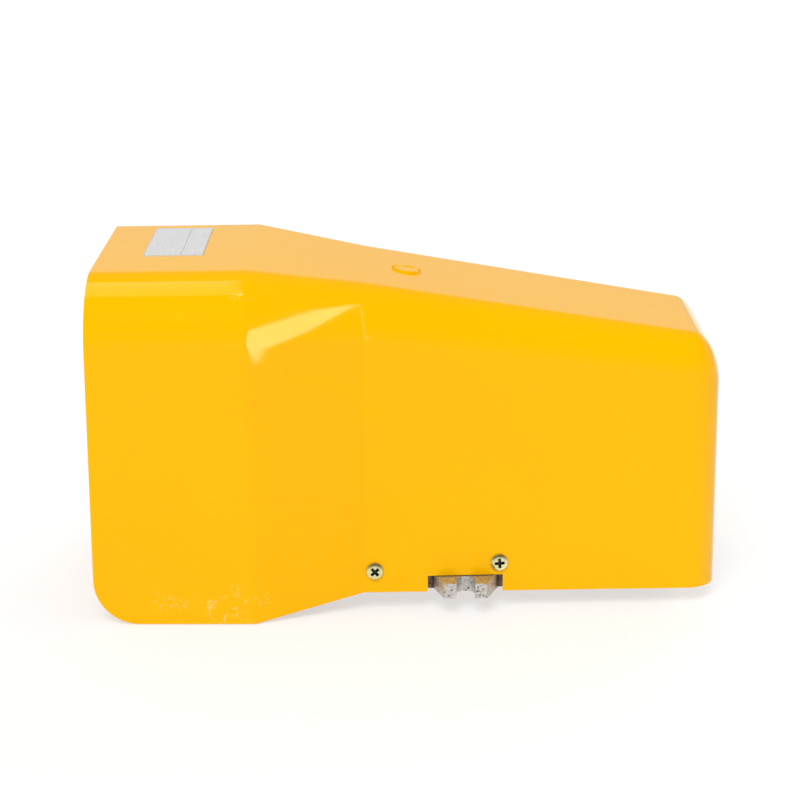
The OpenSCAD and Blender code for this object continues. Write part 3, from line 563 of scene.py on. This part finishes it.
def yellow_abs():
    """Glossy moulded ABS with specks, rub marks and scratches."""
    finish = Finish("yellow_abs", (0.97, 0.485, 0.0), 0.16)
    finish.shader.inputs["Specular IOR Level"].default_value = 0.4
    finish.shader.inputs["Specular Tint"].default_value = (1.0, 0.85, 0.25, 1.0)
    cloud = finish.ramp(finish.noise(11, 3), 0.35, 0.65)
    colour = finish.blend(cloud, (0.965, 0.478, 0.0), (0.975, 0.497, 0.0))
    distance, random = finish.cells(48)
    speck = finish.calc("LESS_THAN", distance, 0.016)
    chosen = finish.calc("GREATER_THAN", random, 0.7)
    specks = finish.product(finish.product(speck, chosen), 0.6)
    colour = finish.blend(specks, colour, (0.36, 0.13, 0.01))
    # Where the hood is scratched: low on the wide section, and at the crease above it
    low_front = finish.product(span(finish, 0, -80, -67, 9), span(finish, 2, 4, 13, 7))
    dots = finish.product(span(finish, 0, -98, -52, 4), span(finish, 2, 8, 12, 4))
    crease = finish.product(span(finish, 0, -67, -61, 4), span(finish, 2, 127, 129.5, 2))
    places = finish.greatest(low_front, finish.greatest(finish.product(dots, 0.6), crease))
    lines = finish.greatest(thread(finish, 260, (1, 1, 0.45)), thread(finish, 330, (0.4, 1, 1)))
    patches = finish.ramp(finish.noise(150, 2), 0.5, 0.62)
    rubbed = finish.product(finish.product(lines, patches), places)
    colour = finish.blend(finish.product(rubbed, 0.7), colour, (1.0, 0.72, 0.25))
    finish.colour(colour)
    fine = finish.ramp(finish.noise(900, 2, 0.5, (0.25, 1, 1)), 0.3, 0.7, 0.06, 0.1)
    finish.roughness(finish.greatest(fine, finish.product(rubbed, 0.5)))
    finish.bump(finish.noise(170, 2), 0.00003, 0.3)
    finish.bump(finish.noise(26, 1), 0.0002, 0.15)
    return finish.material


def thread(finish, per_metre, stretch):
    """Thin wandering lines, where a stretched noise crosses its middle value."""
    node = finish.tree.nodes.new("ShaderNodeMath")
    node.operation = "COMPARE"
    node.inputs[1].default_value, node.inputs[2].default_value = 0.5, 0.009
    finish.link(finish.noise(per_metre, 2, 0.5, stretch), node.inputs[0])
    return node.outputs["Value"]


def brushed_plate():
    """A bare satin plate with a printed outline and one divider."""
    finish = Finish("silver_plate", (0.7, 0.7, 0.69), 0.4, 0.15)
    grain = finish.noise(60, 3, 0.6, (40, 1, 1))
    metal = finish.blend(finish.ramp(grain, 0.3, 0.7), (0.66, 0.66, 0.655), (0.8, 0.8, 0.795))
    edge, line_w, soft = 0.15, 0.2, 0.1

    def panel(inset):
        along = span(finish, 0, PLATE_X[0] + inset, PLATE_X[1] - inset, soft)
        across = span(finish, 1, PLATE_Y[0] + inset, PLATE_Y[1] - inset, soft)
        return finish.product(along, across)

    outline = finish.calc("SUBTRACT", panel(edge), panel(2 * edge))
    line = span(finish, 0, PLATE_LINE_X, PLATE_LINE_X + line_w, soft)
    divider = finish.product(line, panel(edge))
    ink = finish.product(finish.greatest(outline, divider), 0.5)
    finish.colour(finish.blend(ink, metal, (0.2, 0.2, 0.2)))
    finish.roughness(finish.ramp(grain, 0.3, 0.7, 0.36, 0.5))
    finish.bump(grain, 0.00001, 0.4)
    return finish.material


def plated(name, colour, dark, roughness):
    """Bright metal with a thin passivated film and light handling marks."""
    finish = Finish(name, colour, roughness, 1.0)
    film = finish.ramp(finish.noise(230, 3), 0.35, 0.7)
    finish.colour(finish.blend(film, dark, colour))
    finish.roughness(finish.ramp(finish.noise(900, 4), 0.3, 0.7, roughness * 0.75, roughness * 1.3))
    finish.bump(finish.noise(1500, 3), 0.00002, 0.3)
    return finish.material


def cast_alloy():
    """Finely pitted light-alloy casting."""
    finish = Finish("cast_alloy", (0.5, 0.5, 0.49), 0.5, 0.85)
    grain = finish.noise(1100, 5, 0.65)
    distance, random = finish.cells(750)
    chosen = finish.calc("GREATER_THAN", random, 0.6)
    pits = finish.product(finish.ramp(distance, 0.34, 0.1), chosen)
    colour = finish.blend(finish.ramp(grain, 0.35, 0.68), (0.44, 0.435, 0.43), (0.84, 0.835, 0.825))
    colour = finish.blend(finish.product(pits, 0.8), colour, (0.07, 0.065, 0.06))
    # Painted shade, tinted with a painted orange bounce from the hood, on the edge of the plate
    # behind the hood's walls
    near_shade_band, far_shade_band = span(finish, 1, -44, -42.6, 0.5), span(finish, 1, 42.6, 44, 0.5)
    painted_gap_shade = finish.greatest(near_shade_band, far_shade_band)
    # The dark red-brown painted over these bands stands in for the shade and orange bounce light
    # between the hood's wall and the lug
    finish.colour(finish.blend(finish.product(painted_gap_shade, 0.98), colour, (0.05, 0.012, 0.003)))
    finish.roughness(finish.ramp(grain, 0.3, 0.7, 0.36, 0.62))
    finish.bump(grain, 0.00016, 0.7)
    finish.bump(finish.calc("SUBTRACT", 1, pits), 0.0003, 0.8)
    return finish.material


def anodised(name, colour):
    """Machined alloy with faint cutter marks under a satin film."""
    finish = Finish(name, colour, 0.38, 0.9)
    marks = finish.noise(220, 3, 0.5, (1, 1, 9))
    paler = tuple(min(1, c * 1.15) for c in colour)
    darker = tuple(c * 0.86 for c in colour)
    finish.colour(finish.blend(finish.ramp(marks, 0.3, 0.7), darker, paler))
    finish.roughness(finish.ramp(finish.noise(700, 3), 0.3, 0.7, 0.3, 0.46))
    finish.bump(marks, 0.00002, 0.4)
    return finish.material


def powder_coat():
    """Black powder coat, rubbed a little paler and smoother in places."""
    finish = Finish("pedal_alloy", (0.045, 0.046, 0.05), 0.45)
    pimples = finish.noise(1300, 2)
    wear = finish.ramp(finish.noise(60, 4), 0.62, 0.75)
    finish.colour(finish.blend(wear, (0.04, 0.041, 0.045), (0.09, 0.09, 0.092)))
    finish.roughness(finish.ramp(wear, 0, 1, 0.48, 0.34))
    finish.bump(pimples, 0.00008, 0.6)
    return finish.material


def rubber(name, dust):
    """Matt moulded rubber, with some dust in its hollows."""
    finish = Finish(name, (0.02, 0.02, 0.021), 0.75)
    cloud = finish.ramp(finish.noise(90, 4, 0.6), 0.45, 0.75)
    pale = tuple(0.02 + dust * 0.08 for _ in range(3))
    finish.colour(finish.blend(cloud, (0.017, 0.017, 0.018), pale))
    finish.roughness(finish.ramp(cloud, 0, 1, 0.62, 0.86))
    finish.bump(finish.noise(1600, 3), 0.00005, 0.5)
    return finish.material


def board():
    """Mottled green-grey fibre board."""
    finish = Finish("gasket_board", (0.1, 0.14, 0.11), 0.85)
    fibres = finish.noise(900, 5, 0.7, (1, 1, 0.3))
    mottle = finish.ramp(fibres, 0.35, 0.65)
    finish.colour(finish.blend(mottle, (0.07, 0.1, 0.08), (0.16, 0.2, 0.165)))
    finish.bump(fibres, 0.00005, 0.6)
    return finish.material


def black_oxide():
    """Blackened steel with a faint bloom."""
    finish = Finish("black_steel", (0.035, 0.035, 0.038), 0.36, 0.8)
    bloom = finish.noise(420, 4, 0.6)
    worn = finish.ramp(bloom, 0.4, 0.75)
    finish.colour(finish.blend(worn, (0.028, 0.028, 0.03), (0.075, 0.07, 0.066)))
    finish.roughness(finish.ramp(bloom, 0.3, 0.7, 0.28, 0.5))
    finish.bump(finish.noise(1800, 2), 0.00002, 0.3)
    return finish.material


def drawn_wire():
    """Spring wire with drawing marks along it."""
    finish = Finish("spring_steel", (0.4, 0.4, 0.41), 0.3, 1.0)
    draw = finish.noise(700, 4, 0.6, (1, 1, 0.2))
    finish.colour(finish.blend(finish.ramp(draw, 0.3, 0.7), (0.3, 0.29, 0.28), (0.5, 0.5, 0.51)))
    finish.roughness(finish.ramp(draw, 0.3, 0.7, 0.22, 0.42))
    return finish.material


def sintered():
    """Porous sintered bronze."""
    finish = Finish("bronze", (0.52, 0.33, 0.14), 0.45, 1.0)
    pores = finish.noise(1500, 4, 0.7)
    finish.colour(finish.blend(finish.ramp(pores, 0.35, 0.6), (0.3, 0.17, 0.07), (0.6, 0.4, 0.18)))
    finish.roughness(finish.ramp(pores, 0.3, 0.7, 0.38, 0.6))
    finish.bump(pores, 0.00003, 0.5)
    return finish.material


FINISHES = {
    "yellow_abs": yellow_abs(),
    "silver_plate": brushed_plate(),
    "yellow_zinc": plated("yellow_zinc", (0.9, 0.84, 0.5), (0.72, 0.72, 0.36), 0.34),
    "cast_alloy": cast_alloy(),
    "valve_alloy": anodised("valve_alloy", (0.56, 0.58, 0.61)),
    "pedal_alloy": powder_coat(),
    "black_rubber": rubber("black_rubber", 0.5),
    "seal_rubber": rubber("seal_rubber", 0.1),
    "gasket_board": board(),
    "zinc_steel": plated("zinc_steel", (0.66, 0.67, 0.69), (0.45, 0.46, 0.5), 0.28),
    "black_steel": black_oxide(),
    "bright_steel": plated("bright_steel", (0.62, 0.62, 0.63), (0.5, 0.5, 0.51), 0.22),
    "spring_steel": drawn_wire(),
    "bronze": sintered(),
}


def dress(obj, slot):
    """Give a piece its one finish."""
    obj.data.materials.append(FINISHES[slot])


SLOTS = {
    "guard_hood": "yellow_abs", "rating_plate": "silver_plate", "hood_screws": "yellow_zinc",
    "base_casting": "cast_alloy", "rubber_feet": "black_rubber", "feet_screws": "zinc_steel",
    "pivot_pin": "bright_steel", "pivot_clips": "black_steel", "stop_bumper": "black_rubber",
    "pedal_spring": "spring_steel", "valve_body": "valve_alloy", "front_cap": "valve_alloy",
    "cap_screws": "black_steel", "rod_seal": "seal_rubber", "valve_gasket": "gasket_board",
    "channel_plate": "valve_alloy", "port_block": "valve_alloy", "block_screws": "black_steel",
    "valve_bolts": "zinc_steel", "spool_spring": "spring_steel", "pedal": "pedal_alloy",
    "pedal_mat": "black_rubber", "pedal_bushes": "bronze", "cam_plate": "bright_steel",
    "cam_screws": "black_steel", "plunger": "bright_steel", "spool": "bright_steel",
    "spool_seals": "seal_rubber", "roller_pin": "bright_steel", "cam_roller": "bright_steel",
}
for node, slot in SLOTS.items():
    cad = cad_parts[node]
    cad.data.materials.clear()
    cad.data.materials.append(FINISHES[slot])

for piece, slot, node in (
    (hood, "yellow_abs", "guard_hood"),
    (gate, "yellow_abs", "guard_hood"),
    (screws, "yellow_zinc", "hood_screws"),
    (pedal_coil, "spring_steel", "pedal_spring"),
    (spool_coil, "spring_steel", "spool_spring"),
):
    dress(piece, slot)
    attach(piece, "root")
    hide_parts(node)
# The second slot, black steel, is painted shade inside the screws' cross recesses
screws.data.materials.append(FINISHES["black_steel"])
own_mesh(pedal_coil)
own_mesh(spool_coil)


# Floor and light
def any_of(tree, sockets_in):
    """The greatest of some sockets."""
    greatest = sockets_in[0]
    for socket in sockets_in[1:]:
        node = tree.nodes.new("ShaderNodeMath")
        node.operation = "MAXIMUM"
        tree.links.new(greatest, node.inputs[0])
        tree.links.new(socket, node.inputs[1])
        greatest = node.outputs[0]
    return greatest


def stage_material():
    """Pale paper, white with a light shadow where it is seen, mirrored or seen through."""
    material = bpy.data.materials.new("floor_paper")
    material.use_nodes = True
    tree = material.node_tree
    paper = tree.nodes["Principled BSDF"]
    paper.inputs["Base Color"].default_value = (0.78, 0.77, 0.76, 1)
    paper.inputs["Roughness"].default_value = 0.9
    shade = tree.nodes.new("ShaderNodeBsdfDiffuse")
    shade.inputs["Color"].default_value = (0.43, 0.44, 0.45, 1)
    glow = tree.nodes.new("ShaderNodeEmission")
    glow.inputs["Color"].default_value = (1.0, 0.955, 0.92, 1)
    glow.inputs["Strength"].default_value = 0.58
    seen = tree.nodes.new("ShaderNodeAddShader")
    tree.links.new(shade.outputs[0], seen.inputs[0])
    tree.links.new(glow.outputs[0], seen.inputs[1])
    path = tree.nodes.new("ShaderNodeLightPath")
    mix = tree.nodes.new("ShaderNodeMixShader")
    rays = [path.outputs[f"Is {kind} Ray"] for kind in ("Camera", "Glossy", "Transmission")]
    tree.links.new(any_of(tree, rays), mix.inputs[0])
    tree.links.new(paper.outputs[0], mix.inputs[1])
    tree.links.new(seen.outputs[0], mix.inputs[2])
    tree.links.new(mix.outputs[0], tree.nodes["Material Output"].inputs["Surface"])
    return material


floor.data.materials.append(stage_material())


def white_room(light_level):
    """Plain even light, with a white background wherever it is seen or seen through, and a dimmer
    room in reflections.
    """
    world = bpy.data.worlds.new("room")
    bpy.context.scene.world = world
    world.use_nodes = True
    tree = world.node_tree
    tree.nodes.clear()

    def background(strength):
        node = tree.nodes.new("ShaderNodeBackground")
        node.inputs["Color"].default_value = (1, 1, 1, 1)
        if isinstance(strength, float):
            node.inputs["Strength"].default_value = strength
        else:
            tree.links.new(strength, node.inputs["Strength"])
        return node.outputs[0]

    def mixed(factor, a, b):
        node = tree.nodes.new("ShaderNodeMixShader")
        for slot, socket in zip(node.inputs, (factor, a, b)):
            tree.links.new(socket, slot)
        return node.outputs[0]

    def eased(value, low, high, start, end):
        node = tree.nodes.new("ShaderNodeMapRange")
        node.interpolation_type = "SMOOTHSTEP"
        spans = {"From Min": low, "From Max": high, "To Min": start, "To Max": end}
        for slot, number in spans.items():
            node.inputs[slot].default_value = number
        tree.links.new(value, node.inputs["Value"])
        return node.outputs["Result"]

    path = tree.nodes.new("ShaderNodeLightPath")
    seen = any_of(tree, [path.outputs["Is Camera Ray"], path.outputs["Is Transmission Ray"]])
    # Mirrored, the room is white behind the object, and darker overhead and on the near side
    place = tree.nodes.new("ShaderNodeTexCoord")
    split = tree.nodes.new("ShaderNodeSeparateXYZ")
    tree.links.new(place.outputs["Generated"], split.inputs[0])
    low_down = eased(split.outputs["Z"], 0.22, 0.62, 1.0, 0.0)
    behind = eased(split.outputs["Y"], -0.3, 0.3, 0.6, 1.0)
    bright = tree.nodes.new("ShaderNodeMath")
    bright.operation = "MULTIPLY"
    tree.links.new(low_down, bright.inputs[0])
    tree.links.new(behind, bright.inputs[1])
    mirrored = background(eased(bright.outputs[0], 0.0, 1.0, 0.1, 0.6))
    light = mixed(path.outputs["Is Glossy Ray"], background(light_level), mirrored)
    out = tree.nodes.new("ShaderNodeOutputWorld")
    tree.links.new(mixed(seen, light, background(1.0)), out.inputs[0])


white_room(0.62)


def soft_sun(name, toward, level):
    """Wide soft light from a direction, which lights a facing white surface to a level."""
    data = bpy.data.lights.new(name, "SUN")
    data.energy, data.angle = level * math.pi, math.radians(35)
    lamp = bpy.data.objects.new(name, data)
    lamp.rotation_euler = Vector(toward).to_track_quat("Z", "Y").to_euler()
    lamp.visible_glossy = False
    bpy.context.scene.collection.objects.link(lamp)


def mirrored_panel(name, place, turn, width, height, radiance, tone=(1, 1, 1)):
    """A softbox that only shows in reflections: place in mm, turn in degrees."""
    data = bpy.data.lights.new(name, "AREA")
    data.shape, data.color = "RECTANGLE", tone
    data.size, data.size_y = width * MM, height * MM
    data.energy = radiance * 4 * data.size * data.size_y
    lamp = bpy.data.objects.new(name, data)
    lamp.location = Vector(place) * MM
    lamp.rotation_euler = [math.radians(a) for a in turn]
    lamp.visible_camera = lamp.visible_diffuse = False
    bpy.context.scene.collection.objects.link(lamp)


soft_sun("front_light", (-0.12, -0.65, 0.75), 0.56)
soft_sun("back_light", (0.3, 0.85, 0.5), 0.25)
# The highlight along the near top edge of the wide part, and the bluish one on the flare
mirrored_panel("panel_over", (-377, 71, 810), (-34.4, 0, -2.9), 497, 474, 1.5)
mirrored_panel(
    "panel_side", (37, -155, 205), (110.5, 10.4, 102.2), 100, 252, 13, (0.42, 0.48, 1.0)
)
